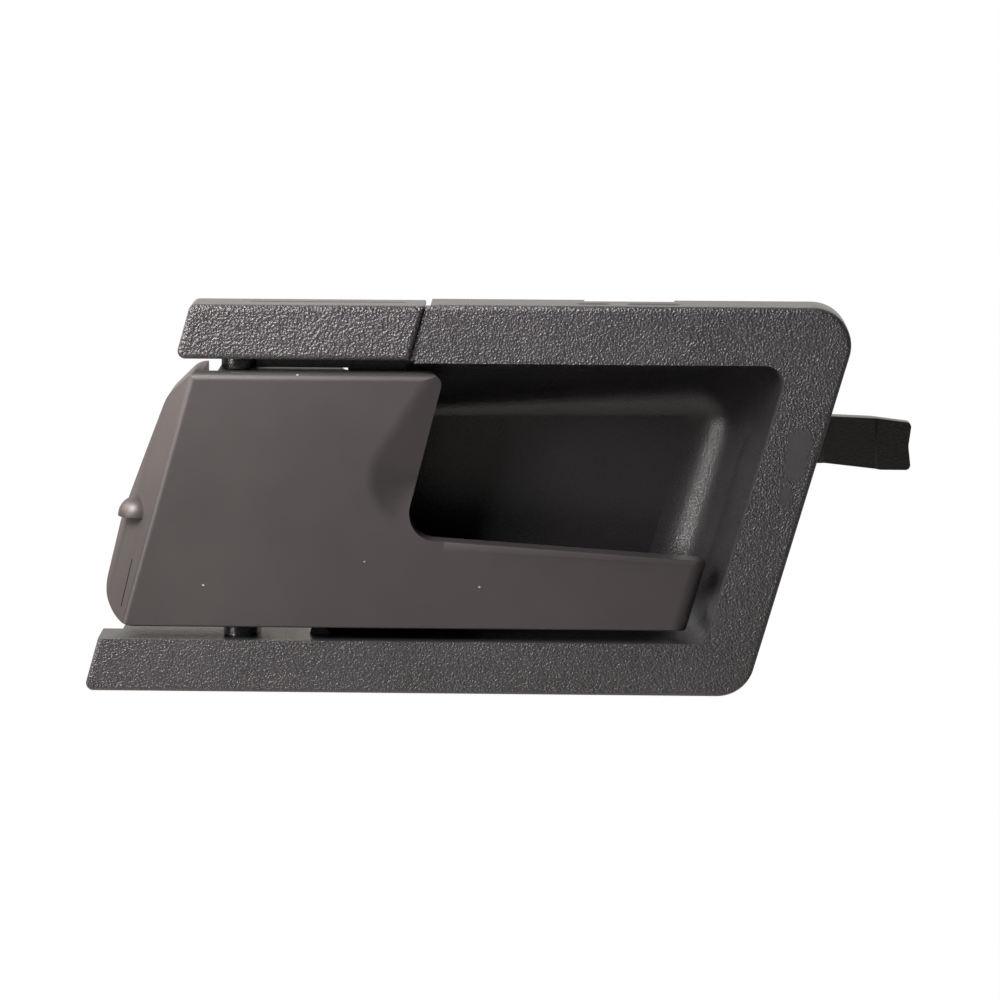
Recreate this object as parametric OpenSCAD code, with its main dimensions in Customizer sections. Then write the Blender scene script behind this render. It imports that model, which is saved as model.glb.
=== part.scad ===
// Car interior door handle: a moulded housing with a finger bowl, an L-shaped pull lever on an
// upright steel pin, a return spring, a rod clip and a slide-on cover over the fixing screw.
// X runs along the door to the right, Y goes into the door, Z is up. The origin is the axis of
// the fixing screw on the plane where the housing seats on the door trim.

/* [Bezel] */
// Length of the bezel along its top edge
bezel_w = 133.5; // [125:0.5:150]
// Height of the bezel
bezel_h = 79; // [76:0.5:90]
// Depth of the bezel from the trim to its front face
bezel_depth = 10; // [9:0.5:12]
// Lean of the two slanted ends from upright, in degrees
lean = 15.8; // [12:0.2:18]
// Height of the top arm
top_arm_h = 11.6; // [11.2:0.1:13]
// Height of the bottom arm
bottom_arm_h = 10.8; // [9:0.1:13]
// Width of the right arm, measured level
right_arm_w = 11.15; // [9:0.05:13]
// Radius of the bezel's right corners
corner_r = 7.6; // [5:0.1:9]
// Radius of the bezel's left corners
end_r = 1.5; // [1.2:0.1:2.5]
// Radius of the opening's right corners
opening_r = 3.8; // [2:0.1:5]
// Rounding of the bezel's front edge
edge_r = 0.9; // [0.4:0.1:1.1]
// Wall thickness of the housing
wall = 2; // [1.6:0.1:2.4]
// Thickness of the front face
face_t = 2.4; // [1.8:0.1:2.8]

/* [Finger bowl] */
// Depth of the bowl from the bezel's face
bowl_depth = 22; // [18:0.5:26]
// Place of the bowl's left wall at the bowl's middle height
bowl_left = 11; // [9.5:0.5:14]
// How far the right wall runs in from the opening to the middle of its fillet
bowl_right_run = 15.5; // [13:0.5:18]
// How far the top wall runs in from the opening to the middle of its fillet
bowl_top_run = 14.5; // [12:0.5:17]
// Fillet between the bowl's right and top walls and its floor
bowl_fillet = 12; // [9:0.5:13]
// Fillet between the bowl's left wall and its floor
bowl_left_fillet = 5; // [3:0.5:6]
// How far the opening's steep lip runs in
bowl_lip = 1.2; // [0.5:0.1:1.5]
// Depth of the opening's steep lip
bowl_lip_depth = 4; // [3:0.5:5]

/* [Fixing screw and cover] */
// Drop of the screw axis below the bezel's top edge
screw_drop = 6; // [5.8:0.1:6.4]
// Distance of the screw axis from the bezel's left end
screw_inset = 23.8; // [20:0.2:28]
// Radius of the screw hole
screw_r = 2.6; // [2:0.1:3]
// Half length of the pocket for the screw head
pocket_half = 6; // [5:0.2:8]
// Length of the cover along the arm
cover_l = 46.7; // [40:0.1:50]
// Gap between the cover and the bezel's face
cover_gap = 1; // [0.6:0.1:1.4]
// Thickness of the cover's plate
cover_t = 2; // [1.6:0.1:2.2]
// Thickness of the cover's lips
lip_t = 1.2; // [1:0.1:1.4]
// Bite of the cover's lips under the rail
lip_bite = 0.75; // [0.5:0.05:0.9]
// Sliding clearance of the cover on its rail
slide_gap = 0.15; // [0.1:0.01:0.2]
// Drop of the cover's top edge below the bezel's top edge
cover_drop = 0.25; // [0.1:0.05:0.6]
// Rise of the cover's bottom edge above the arm's bottom edge
cover_rise = 0.4; // [0.1:0.05:0.8]

/* [Lever] */
// Set-back of the lever's face behind the bezel's face
lever_setback = 0.8; // [0.4:0.1:1.5]
// Gap between the lever and the arm above it
lever_top_gap = 2.3; // [1.6:0.1:2.6]
// Gap between the lever and the arm below it
lever_bottom_gap = 2.4; // [1.6:0.1:2.8]
// Wall thickness of the lever
lever_wall = 2.2; // [1.8:0.1:2.6]
// Offset of the lever's left face edge from the bezel's left end
lever_inset = 4.3; // [3.5:0.1:6]
// Bulge of the barrel flank beyond the face edge
flank_bulge = 7.4; // [5:0.1:9]
// Place of the recess edge at the screw's height
recess_x = 30.4; // [28:0.2:34]
// Lean of the recess edge from upright, in degrees
recess_lean = 14.4; // [12:0.2:16]
// Drop of the arm's top edge below the screw at the screw's column
arm_drop = 40.2; // [38:0.2:44]
// Fall of the arm's top edge to the right, in degrees
arm_fall = 3.2; // [1:0.1:4]
// Gap between the arm's end and the opening's right edge
arm_end_gap = 4; // [3:0.1:6]
// Radius of the inner corner of the L
crook_r = 5.5; // [3:0.1:7]
// Depth of the lever's rim behind its face
rim_depth = 5; // [4:0.2:5.6]
// Radius of the round on which the finger scoop starts to fall
scoop_r = 6; // [4:0.5:9]
// Slope of the finger scoop, in degrees
scoop_slope = 22; // [16.5:2.75:24.75]
// Rounding of the arm's and the recess's front edge
arm_edge_r = 2.2; // [1:0.1:2.6]

/* [Pivot and linkage] */
// Place of the pivot axis to the left of the screw
pivot_x = 13; // [12:0.5:14]
// Depth of the pivot axis behind the trim
pivot_y = 2.2; // [2:0.1:3]
// Radius of the pivot pin
pin_r = 1.5; // [1.2:0.1:2]
// Running clearance round the pin
pin_gap = 0.05; // [0.02:0.01:0.08]
// Radius of the lever's bosses round the pin
boss_r = 4; // [3.6:0.1:4.4]
// Thickness of the housing's ears
ear_t = 2.4; // [2:0.1:2.8]
// Length of the lever's rear arm from the pivot to the rod's eye
rear_arm_l = 20; // [18:0.5:24]
// Thickness of the rear arm
rear_arm_t = 3; // [2.4:0.1:4]
// Radius of the pull rod that the clip takes
rod_r = 2; // [1.5:0.1:2.2]
// Wire thickness of the return spring
wire_d = 1.2; // [0.8:0.1:1.4]
// Coils in the return spring
coils = 5; // [4:1:6]

/* [Hook tongue] */
// Height of the tongue
tongue_h = 9.6; // [8:0.2:12]
// Reach of the tongue past the bezel's right edge
tongue_reach = 18; // [14:0.5:22]
// Thickness of the tongue
tongue_t = 2.6; // [2:0.1:3.2]
// Drop of the tongue's tip, in degrees
tongue_fall = 7; // [0:0.5:10]

/* [Hidden] */
$fn = 64;
arc_step = 7.5;
eps = 0.01;
over = 1;
k = tan(lean);

face_y = -bezel_depth;
top_z = screw_drop;
bottom_z = top_z - bezel_h;
open_top = top_z - top_arm_h;
open_bottom = bottom_z + bottom_arm_h;
open_mid = (open_top + open_bottom) / 2;
lever_y = face_y + lever_setback;
lever_top = open_top - lever_top_gap;
lever_bottom = open_bottom + lever_bottom_gap;
coil_r = pin_r + wire_d / 2 + 0.6;
spring_rise = 1.5;
spring_room = 6;
coil_pitch = wire_d * 1.15;
spring_z = (lever_bottom + lever_top) / 2 + spring_rise;
boss_lower = spring_z - coils * coil_pitch / 2 - spring_room;
boss_upper = spring_z + coils * coil_pitch / 2 + spring_room;
function left_x(z) = -screw_inset + z * k;
function right_x(z) = left_x(z) + bezel_w;
function open_right_x(z) = right_x(z) - right_arm_w;

// Outline helpers: a point is [x, y, corner radius], counter-clockwise.
function flat(v) = [v[0], v[1]];
function unit(v) = v / norm(v);
function cross_z(a, b) = a[0] * b[1] - a[1] * b[0];
function ring(pts, i) = pts[(i + len(pts)) % len(pts)];
function edge_dir(pts, i) = unit(flat(ring(pts, i + 1)) - flat(ring(pts, i)));
function left_of(v) = [-v[1], v[0]];
// Moves every edge of an outline inwards by t and keeps its arcs concentric.
function inset(pts, t) = [for (i = [0 : len(pts) - 1])
    let (d0 = edge_dir(pts, i - 1), d1 = edge_dir(pts, i), n0 = left_of(d0), n1 = left_of(d1),
        turn = cross_z(d0, d1) >= 0 ? 1 : -1,
        p = flat(pts[i]) + t * (n0 + n1) / (1 + n0 * n1),
        r = pts[i][2] == 0 ? 0 : max(pts[i][2] - turn * t, 0.05))
    [p[0], p[1], r]];
// Turns each corner of an outline into an arc of its own radius.
function rounded(pts) = [for (i = [0 : len(pts) - 1])
    let (p = flat(pts[i]), r = pts[i][2], d0 = edge_dir(pts, i - 1), d1 = edge_dir(pts, i),
        bend = cross_z(d0, d1) >= 0 ? 1 : -1, turn = acos(max(min(d0 * d1, 1), -1)),
        reach = r * tan(turn / 2), c = p - reach * d0 + bend * r * left_of(d0),
        n = max(ceil(turn / arc_step), 1), a0 = atan2(-bend * left_of(d0)[1], -bend * left_of(d0)[0]))
    each (r == 0 || turn < 1 ? [p]
        : [for (j = [0 : n]) c + r * [cos(a0 + bend * turn * j / n), sin(a0 + bend * turn * j / n)]])];

// An outline in X and Z, pushed along Y.
module front_prism(pts, y0, y1) {
    translate([0, y1, 0]) rotate([90, 0, 0]) linear_extrude(y1 - y0) polygon(rounded(pts));
}
// An outline in Y and Z, pushed along X.
module side_prism(pts, x0, x1) {
    translate([x0, 0, 0]) rotate([90, 0, 90]) linear_extrude(x1 - x0) polygon(rounded(pts));
}
// An outline in X and Y, pushed along the leaning ends, with its X zero on the line through x0.
module lean_prism(pts, x0) {
    translate([x0, 0, 0]) rotate([0, lean, 0]) translate([0, 0, -bezel_h * 1.2])
        linear_extrude(bezel_h * 1.5) polygon(rounded(pts));
}

bezel_outline = [
    [left_x(bottom_z), bottom_z, end_r], [right_x(bottom_z), bottom_z, corner_r],
    [right_x(top_z), top_z, corner_r], [left_x(top_z), top_z, end_r]];
open_start = left_x(open_mid) - bezel_w / 4;
open_outline = [
    [open_start, open_bottom, 0], [open_right_x(open_bottom), open_bottom, opening_r],
    [open_right_x(open_top), open_top, opening_r], [open_start, open_top, 0]];

// Cover seat: the top arm is cut down to a base plate that carries the cover's rail.
seam_x = left_x(0) + cover_l + cover_gap;
base_y = -3.6;
base_t = 2.4;
rail_neck = 1.2;
cover_back = face_y + cover_t;
rail_y = cover_back + slide_gap * 2;
cover_top = top_z - cover_drop;
cover_bottom = open_top + cover_rise;
cover_mid = (cover_top + cover_bottom) / 2;
rail_half = (cover_top - cover_bottom) / 2 - lip_t - slide_gap;
neck_half = rail_half - lip_bite - slide_gap;
lip_end = base_y - slide_gap;
hook_y = base_y - rail_neck + slide_gap;

function seam(z, gap) = seam_x + gap + z * k;
function arm_strip(z0, z1, x0, x1) = [
    [x0 + z0 * k, z0, 0], [x1 + z0 * k, z0, 0], [x1 + z1 * k, z1, 0], [x0 + z1 * k, z1, 0]];

// A block with this front outline whose front edge is rounded off by r, from y0 back to y1.
module soft_block(outline, r, y0, y1) {
    edge_steps = 4;
    hull() {
        front_prism(outline, y0 + r, y1);
        for (i = [1 : edge_steps]) {
            a = 90 * i / edge_steps;
            front_prism(inset(outline, r * (1 - cos(a))), y0 + r * (1 - sin(a)), y0 + r + eps);
        }
    }
}

bowl_x0 = bowl_left - open_mid * k;
floor_y = face_y + bowl_depth;
bowl_mouth = [
    [bowl_x0 + open_bottom * k, open_bottom, 1], [open_right_x(open_bottom), open_bottom, opening_r],
    [open_right_x(open_top), open_top, opening_r], [bowl_x0 + open_top * k, open_top, 1]];
function bowl_ball(x, z, r) = [x + z * k, floor_y - r, z, r];
bowl_balls = [
    bowl_ball(open_right_x(0) - bowl_right_run, open_top - bowl_top_run, bowl_fillet),
    bowl_ball(open_right_x(0) - bowl_right_run, open_bottom + bowl_fillet, bowl_fillet),
    bowl_ball(bowl_x0 + bowl_left_fillet, open_top - bowl_top_run, bowl_left_fillet),
    bowl_ball(bowl_x0 + bowl_left_fillet, open_bottom + bowl_left_fillet, bowl_left_fillet)];
// The bowl's space, grown by t: from the opening's outline over its steep lip to four balls that
// round off the corners of the floor.
module bowl_form(t, y0) {
    lip_y = face_y + bowl_lip_depth;
    intersection() {
        hull() {
            front_prism(inset(bowl_mouth, -t), y0, y0 + bowl_skin);
            front_prism(inset(bowl_mouth, bowl_lip - t), lip_y, lip_y + bowl_skin);
            for (b = bowl_balls) translate([b[0], b[1], b[2]]) sphere(r = b[3] + t, $fn = ball_sides);
        }
        front_prism(inset(bezel_outline, -over), y0, floor_y + t + over);
    }
}
bowl_skin = 0.1;
ball_sides = 40;
bowl_front = lever_y + rim_depth + over;
function bowl_wall_x(z) = bowl_x0 - wall / cos(lean) + z * k;

ear_z1 = open_top + ear_t;
ear_z0 = open_bottom - ear_t;
ear_r = boss_r + 1;
boss_gap = 0.3;

module ear(z0, z1) {
    translate([-pivot_x, pivot_y, z0]) cylinder(h = z1 - z0, r = ear_r);
    translate([-pivot_x - ear_r, base_y, z0]) cube([2 * ear_r, pivot_y - base_y, z1 - z0]);
}

tongue_root = 0.6;
tongue_z = open_top - 12;
tongue_x = right_x(tongue_z);
tongue_y = 2.4;
tongue_step = 6;
tongue_tip = 7.2;
tongue_start = open_right_x(0) - bowl_right_run + bowl_fillet / 2;
module tongue() {
    tip_x = tongue_x + tongue_reach;
    bend_x = tip_x - tongue_tip;
    plan = [[tongue_start, tongue_y, 0], [tongue_x - tongue_root, tongue_y, 2],
        [bend_x, tongue_y + tongue_step, 1], [tip_x, tongue_y + tongue_step, 0],
        [tip_x, tongue_y + tongue_step + tongue_t, 0], [bend_x - over, tongue_y + tongue_step + tongue_t, 3],
        [tongue_x - tongue_root - over, tongue_y + tongue_t, 2],
        [tongue_start, tongue_y + tongue_t, 0]];
    drop = tan(tongue_fall);
    x0 = tongue_start;
    intersection() {
        translate([0, 0, tongue_z - 2 * tongue_h]) linear_extrude(3 * tongue_h) polygon(rounded(plan));
        front_prism([
            [x0, tongue_z - tongue_h, 0], [tongue_x, tongue_z - tongue_h, 0],
            [bend_x + over, tongue_z - tongue_h - drop * (bend_x - tongue_x) - over, 1],
            [tip_x, tongue_z - tongue_h - drop * (bend_x - tongue_x) - over, 1],
            [tip_x - tongue_root, tongue_z - tongue_h / 2 - drop * tongue_reach, 3],
            [tip_x, tongue_z - drop * tongue_reach, 1], [tongue_x, tongue_z, 0], [x0, tongue_z, 0]],
            0, tongue_y + tongue_step + 2 * tongue_t);
    }
}

rib_t = 1.2;
rib_d = bezel_depth - 2 * face_t;
rib_gap = 15;
module arm_ribs() {
    // Ribs across the hollow of the bottom arm and of the right arm.
    for (x = [left_x(bottom_z) + rib_gap : rib_gap : right_x(bottom_z) - rib_gap])
        translate([x, face_y + face_t / 2, bottom_z + wall / 2])
            cube([rib_t, rib_d, bottom_arm_h - wall]);
    for (z = [open_bottom : rib_gap : open_top])
        translate([open_right_x(z) + wall / 2, face_y + face_t / 2, z])
            cube([right_arm_w - wall, rib_d, rib_t]);
}

notch_x = 56;
notch_w = 18;
notch_d = 2;
stop_x = bowl_wall_x(open_mid) - 2.4;
stop_r = 2.4;
stop_seat = -4.4;
stop_stem = 1.2;
lug_l = 3.5;
lug_t = pivot_y - coil_r - wire_d / 2 - slide_gap - bowl_front;
module housing() {
    color([0.26, 0.25, 0.255]) {
        difference() {
            union() {
                difference() {
                    soft_block(bezel_outline, edge_r, face_y, 0);
                    cover_cut();
                    // Hollow behind the face, up to the walls of the opening.
                    difference() {
                        front_prism(inset(bezel_outline, wall), face_y + face_t, over);
                        front_prism(inset(open_outline, -wall), face_y, 2 * over);
                    }
                }
                difference() {
                    bowl_form(wall, face_y + face_t / 2);
                    cover_cut();
                }
                // Base plate under the cover, with the boss that takes the screw's load.
                front_prism(arm_strip(open_top, plate_top, left_x(0) + plate_inset, seam(0, wall)), base_y, base_y + base_t);
                intersection() {
                    translate([0, base_y, 0]) rotate([-90, 0, 0]) cylinder(h = -base_y, r = screw_r + wall);
                    front_prism(arm_strip(open_top, plate_top, left_x(0) + plate_inset, seam(0, wall)), base_y, over);
                }
                arm_ribs();
                tongue();
            }
            front_prism(bowl_mouth, face_y - over, face_y + bowl_skin);
            bowl_form(0, face_y);
            front_prism(barrel_opening(2 * wall), face_y - over, bowl_front);
            front_prism(barrel_opening(0), bowl_front - over, over);
            translate([0, -bezel_depth, 0]) rotate([-90, 0, 0]) cylinder(h = 2 * bezel_depth, r = screw_r);
            translate([notch_x, -notch_d, top_z - 2 * wall]) cube([notch_w, 2 * notch_d, 3 * wall]);
        }
        // Seat of the rubber stop, on the bowl's left wall.
        difference() {
            translate([stop_x, stop_seat, open_mid]) rotate([-90, 0, 0]) cylinder(h = bowl_depth / 2, r = stop_r + 0.8);
            translate([stop_x, stop_seat - over, open_mid]) rotate([-90, 0, 0])
                cylinder(h = 2 * stop_stem + 2 * over, r = stop_stem + pin_gap);
        }
        spring_lug();
        difference() {
            union() {
                pivot_seats();
                gap_walls();
            }
            translate([-pivot_x, pivot_y, bottom_z]) cylinder(h = bezel_h, r = pin_r + pin_gap);
        }
        cover_rail();
    }
}
// Ears behind the arms, and the bosses that reach from the arms to just short of the lever.
boss_front = -2.5;
module pivot_seats() {
    ear(open_top, ear_z1);
    ear(ear_z0, open_bottom);
    for (span = [[lever_top + boss_gap, cover_bottom - slide_gap], [open_bottom - ear_t / 2, lever_bottom - boss_gap]]) {
        translate([-pivot_x, pivot_y, span[0]]) cylinder(h = span[1] - span[0], r = boss_r - 0.4);
        translate([-pivot_x, boss_front, span[0]]) cylinder(h = span[1] - span[0], r = boss_r - 0.4);
        translate([-pivot_x - boss_r + 0.4, boss_front, span[0]])
            cube([2 * boss_r - 0.8, pivot_y - boss_front, span[1] - span[0]]);
    }
}
// Walls behind the slits above and below the lever, which close them to the eye.
gap_wall_h = 5;
gap_wall_y = 3.5;
module gap_walls() {
    translate([gap_wall_x, bowl_front, open_top - gap_wall_h])
        cube([bowl_wall_x(open_top) - gap_wall_x + wall / 2, rib_t, gap_wall_h + 1]);
    front_prism(arm_strip(open_bottom - wall, open_bottom, left_x(0) + 2 * wall, bowl_wall_x(0) + wall / 2),
        -wall, gap_wall_y);
}
// Lug on the bowl's left wall that holds the spring's leg.
module spring_lug() {
    z = spring_z + coils * coil_pitch / 2;
    translate([bowl_wall_x(z) - lug_l, bowl_front, z - lug_l]) cube([lug_l + wall / 2, lug_t, 2 * lug_l]);
}
// The part of the opening that the lever's barrel stands in, left of the bowl.
function barrel_opening(extra) = [
    [open_start, open_bottom, 0], [bowl_wall_x(open_bottom) + extra, open_bottom, 0],
    [bowl_wall_x(open_top) + extra, open_top, 0], [open_start, open_top, 0]];
// The cover wraps the base plate's top edge and its left end.
plate_inset = lip_t + slide_gap;
plate_top = cover_top - lip_t - slide_gap;
module cover_cut() {
    front_prism(arm_strip(open_top - over, top_z + over, left_x(0) - over, seam_x), face_y - over, base_y);
    front_prism(arm_strip(plate_top, top_z + over, left_x(0) - over, seam_x), base_y - over, over);
    front_prism(arm_strip(open_top - over, top_z + over, left_x(0) - over, left_x(0) + plate_inset), base_y - over, over);
}
module cover_rail() {
    start = left_x(0) + lip_t + 2 * slide_gap + 1;
    end = seam_x - cover_gap - 2;
    for (span = [[start, -pocket_half], [pocket_half, end]]) {
        front_prism(arm_strip(cover_mid - neck_half, cover_mid + neck_half, span[0], span[1]), base_y - rail_neck, base_y);
        front_prism(arm_strip(cover_mid - rail_half, cover_mid + rail_half, span[0], span[1]), rail_y, base_y - rail_neck);
    }
}

cover_edge = 1.1;
module screw_cover() {
    outline = [
        [left_x(cover_bottom), cover_bottom, end_r], [left_x(cover_bottom) + cover_l, cover_bottom, 0.4],
        [left_x(cover_top) + cover_l, cover_top, 0.4], [left_x(cover_top), cover_top, end_r]];
    color([0.3, 0.3, 0.31]) difference() {
        soft_block(outline, cover_edge, face_y, -slide_gap);
        front_prism(arm_strip(open_top - over, plate_top + slide_gap, left_x(0) + lip_t, seam_x + over), lip_end, over);
        front_prism(arm_strip(cover_mid - rail_half - slide_gap, cover_mid + rail_half + slide_gap,
            left_x(0) + lip_t, seam_x + over), cover_back, hook_y);
        front_prism(arm_strip(cover_mid - neck_half - slide_gap, cover_mid + neck_half + slide_gap,
            left_x(0) + lip_t, seam_x + over), cover_back, over);
    }
}

lever_x0 = left_x(0) + lever_inset;
lever_rear = pivot_y + boss_r + 0.6;
arm_x1 = open_right_x(0) - arm_end_gap;
lever_edge_r = 1.7;
// Plan of the lever, square to its leaning end: the rounded face edge, the bulged flank of the
// barrel, and the shallow rim of the pull end.
barrel_w = 26;
barrel_flare = 3;
// The wall that stands clear of the barrel's flared right side.
gap_wall_x = lever_x0 + (barrel_w + barrel_flare) / cos(lean) + lever_top * k + 0.4;
lever_plan = [
    [0, lever_y, 1.6], [-2.7, lever_y + 3.4, 0.8], [-flank_bulge * 0.72, lever_y + 7, 6],
    [-flank_bulge, lever_y + 13, 3], [-flank_bulge + 1, lever_rear, 0.6],
    [barrel_w, lever_rear, 3], [barrel_w + barrel_flare, lever_y + rim_depth, 1.2],
    [(arm_x1 - lever_x0) * cos(lean) - 0.8, lever_y + rim_depth, 0.5],
    [(arm_x1 - lever_x0) * cos(lean), lever_y, 3.2]];
lever_hollow = let (w = lever_wall, p = lever_plan) [
    [w * 0.6, lever_y + w, 1], [-2.7 + w, lever_y + 3.4 + w / 2, 1], [-flank_bulge * 0.72 + w, lever_y + 7.6, 5],
    [-flank_bulge + w, lever_y + 13, 2], [-flank_bulge + w, lever_rear + over, 0],
    [barrel_w - w, lever_rear + over, 0], [barrel_w - w, lever_y + rim_depth + over, 0],
    [p[7][0] - w, lever_y + rim_depth + over, 0],
    [p[8][0] - w, lever_y + w, 2]];
// Section of the lever along the door: a soft top edge and a crisp bottom edge.
lever_section = [
    [lever_y, lever_top, lever_edge_r], [lever_y, lever_bottom, 0.7],
    [lever_rear, lever_bottom, 0], [lever_rear, lever_top, 0]];
function recess_at(z) = recess_x + z * tan(recess_lean);
function arm_top(x) = -arm_drop - x * tan(arm_fall);
crook_z = arm_top(recess_at(-arm_drop));
// Front outline of the lever, with the barrel's big top corner and its smaller bottom corner.
flank_x = lever_x0 - flank_bulge / cos(lean);
flank_bend_1 = lever_top - 5.6;
flank_bend_2 = lever_top - 0.6 * (lever_top - lever_bottom);
lever_front = [
    [flank_x + 1.7 + lever_bottom * k, lever_bottom, 7],
    [arm_x1 + lever_bottom * k, lever_bottom, 1.5],
    [arm_x1 + arm_top(arm_x1) * k, arm_top(arm_x1), 2],
    [recess_at(crook_z), crook_z, crook_r],
    [recess_at(lever_top), lever_top, 2.4],
    [flank_x + 7.6 + lever_top * k, lever_top, 4],
    [flank_x + 3.5 + flank_bend_1 * k, flank_bend_1, 8],
    [flank_x + 0.7 + flank_bend_2 * k, flank_bend_2, 20]];
module lever_form(plan, section, front) {
    intersection() {
        lean_prism(plan, lever_x0);
        side_prism(section, -bezel_w, bezel_w);
        front_prism(front, face_y, lever_rear + 2 * over);
    }
}
scoop_x = 7.6;
scoop_z = -33.5;
scoop_corner = 11.3;
scoop_up = 57;
scoop_down = 28;
scoop_depth = 4;
// Falls of the lever's face: points are [depth, distance from the fall's line].
fall_profile = concat([for (a = [0 : 2.75 : scoop_slope]) scoop_r * [1 - cos(a), sin(a)]],
    let (d = scoop_r * (1 - cos(scoop_slope))) [[scoop_depth, scoop_r * sin(scoop_slope) + (scoop_depth - d) / tan(scoop_slope)]]);
// A fall to the right of a line that starts at a point and runs at an angle, from l0 to l1 along it.
module falling(x, z, angle, profile, l0, l1) {
    last = profile[len(profile) - 1];
    translate([x, lever_y, z]) rotate([0, -angle, 0]) rotate([90, 0, 90]) translate([0, 0, l0])
        linear_extrude(l1 - l0) polygon(concat([[-over, -bezel_h], [-over, 0]], [for (p = profile) [p[0], -p[1]]],
            [[last[0], -bezel_h]]));
}
// A fall that comes down one line, turns with radius r and goes up another: x and z are where the
// two lines would meet.
module falling_corner(x, z, up, down, r, profile) {
    half = (up + down) / 2;
    leg = r / tan(half);
    cx = x + r / sin(half) * cos((up - down) / 2);
    cz = z + r / sin(half) * sin((up - down) / 2);
    falling(x, z, up, profile, leg, bezel_w);
    mirror([0, 0, 1]) falling(x, -z, down, profile, leg, bezel_w);
    translate([cx, lever_y, cz]) rotate([90, 0, 0]) rotate([0, 0, 90 + up]) rotate_extrude(angle = 180 - up - down)
        polygon(concat([[0, over], [r, over]], [for (p = profile) [r - p[1], -p[0]]],
            [[0, -profile[len(profile) - 1][0]]]));
}
eye_z = lever_bottom + 9;
eye_y = pivot_y + rear_arm_l;
eye_r = 3.1;
clip_gap = 0.05;
stock_x = 10.5;
scoop_ledge = 0.3;
scoop_end_z = arm_top(0) - (arm_edge_r + scoop_ledge) / cos(arm_fall);
spring_slot_y = pivot_y - coil_r - wire_d;
barrel_cut_x = -20;
barrel_cut_w = 3;
barrel_cut_y = -6.5;
nub_r = 3.9;
nub_z = -38;
module lever() {
    color([0.33, 0.32, 0.325]) difference() {
        union() {
            difference() {
                lever_form(lever_plan, lever_section, lever_front);
                lever_form(lever_hollow, [
                    [lever_y - over, lever_top - lever_wall, 1], [lever_y - over, lever_bottom + lever_wall, 1],
                    [lever_rear + over, lever_bottom + lever_wall, 0], [lever_rear + over, lever_top - lever_wall, 0]],
                    inset(lever_front, lever_wall));
            }
            // Thick stock behind the scoop.
            intersection() {
                lever_form(lever_plan, lever_section, lever_front);
                translate([stock_x, lever_y, crook_z - 2 * lever_wall])
                    cube([bezel_w / 4, rim_depth, lever_top - crook_z + 2 * lever_wall]);
            }
            for (span = [[lever_bottom, boss_lower], [boss_upper, lever_top]]) {
                translate([-pivot_x, pivot_y, span[0]]) cylinder(h = span[1] - span[0], r = boss_r);
                translate([-pivot_x - rib_t, lever_y + lever_wall / 2, span[0]])
                    cube([2 * rib_t, pivot_y - lever_y, span[1] - span[0]]);
            }
            translate([-pivot_x, pivot_y, eye_z]) cylinder(h = rear_arm_t, r = boss_r + 1);
            translate([-pivot_x, eye_y, eye_z]) cylinder(h = rear_arm_t, r = eye_r + 2);
            translate([-pivot_x - boss_r, pivot_y, eye_z]) cube([2 * boss_r, rear_arm_l, rear_arm_t]);
            flank_nub();
        }
        translate([-pivot_x, pivot_y, bottom_z]) cylinder(h = bezel_h, r = pin_r + pin_gap);
        translate([-pivot_x, eye_y, eye_z - over]) cylinder(h = rear_arm_t + 2 * over, r = eye_r);
        scoop();
        // Way for the spring's leg through the barrel's wall.
        translate([boss_r - pivot_x, spring_slot_y, spring_z + coils * coil_pitch / 2 - wire_d])
            cube([barrel_w / 2, bezel_depth, 2 * wire_d]);
        // Cut in the barrel's top wall.
        translate([barrel_cut_x, barrel_cut_y, lever_top - 2 * lever_wall]) cube([barrel_cut_w, 2 * bezel_depth, 3 * lever_wall]);
    }
}
// Half-round nub on the barrel's flank, flat below.
module flank_nub() {
    nub_x = lever_x0 - 3.6 + nub_z * k;
    intersection() {
        translate([nub_x, lever_y + 6.2, nub_z]) sphere(r = nub_r);
        translate([nub_x - nub_r, lever_y, nub_z]) cube([2 * nub_r, 2 * nub_r, nub_r]);
    }
}
// The finger scoop: two falls that meet in a wide round corner, ended by the arm's edge.
module scoop() {
    intersection() {
        falling_corner(scoop_x, scoop_z, scoop_up, scoop_down, scoop_corner, fall_profile);
        mirror([0, 0, 1]) falling(0, -scoop_end_z, arm_fall, fall_profile, -bezel_h, 2 * bezel_h);
    }
}
module pivot_pin() {
    head_r = 2.6;
    head_t = 1;
    color([0.7, 0.7, 0.72]) {
        translate([-pivot_x, pivot_y, ear_z0 - 3]) cylinder(h = ear_z1 - ear_z0 + 3, r = pin_r);
        translate([-pivot_x, pivot_y, ear_z1]) cylinder(h = head_t, r = head_r);
    }
}

retainer_r = 4;
retainer_t = 0.6;
module pin_retainer() {
    color([0.55, 0.55, 0.57]) translate([-pivot_x, pivot_y, ear_z0 - retainer_t]) difference() {
        cylinder(h = retainer_t, r = retainer_r);
        translate([0, 0, -over]) cylinder(h = retainer_t + 2 * over, r = pin_r + pin_gap);
        for (a = [0 : 60 : 300]) rotate(a) translate([pin_r, -0.3, -over]) cube([1.2, 0.6, retainer_t + 2 * over]);
    }
}

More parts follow.
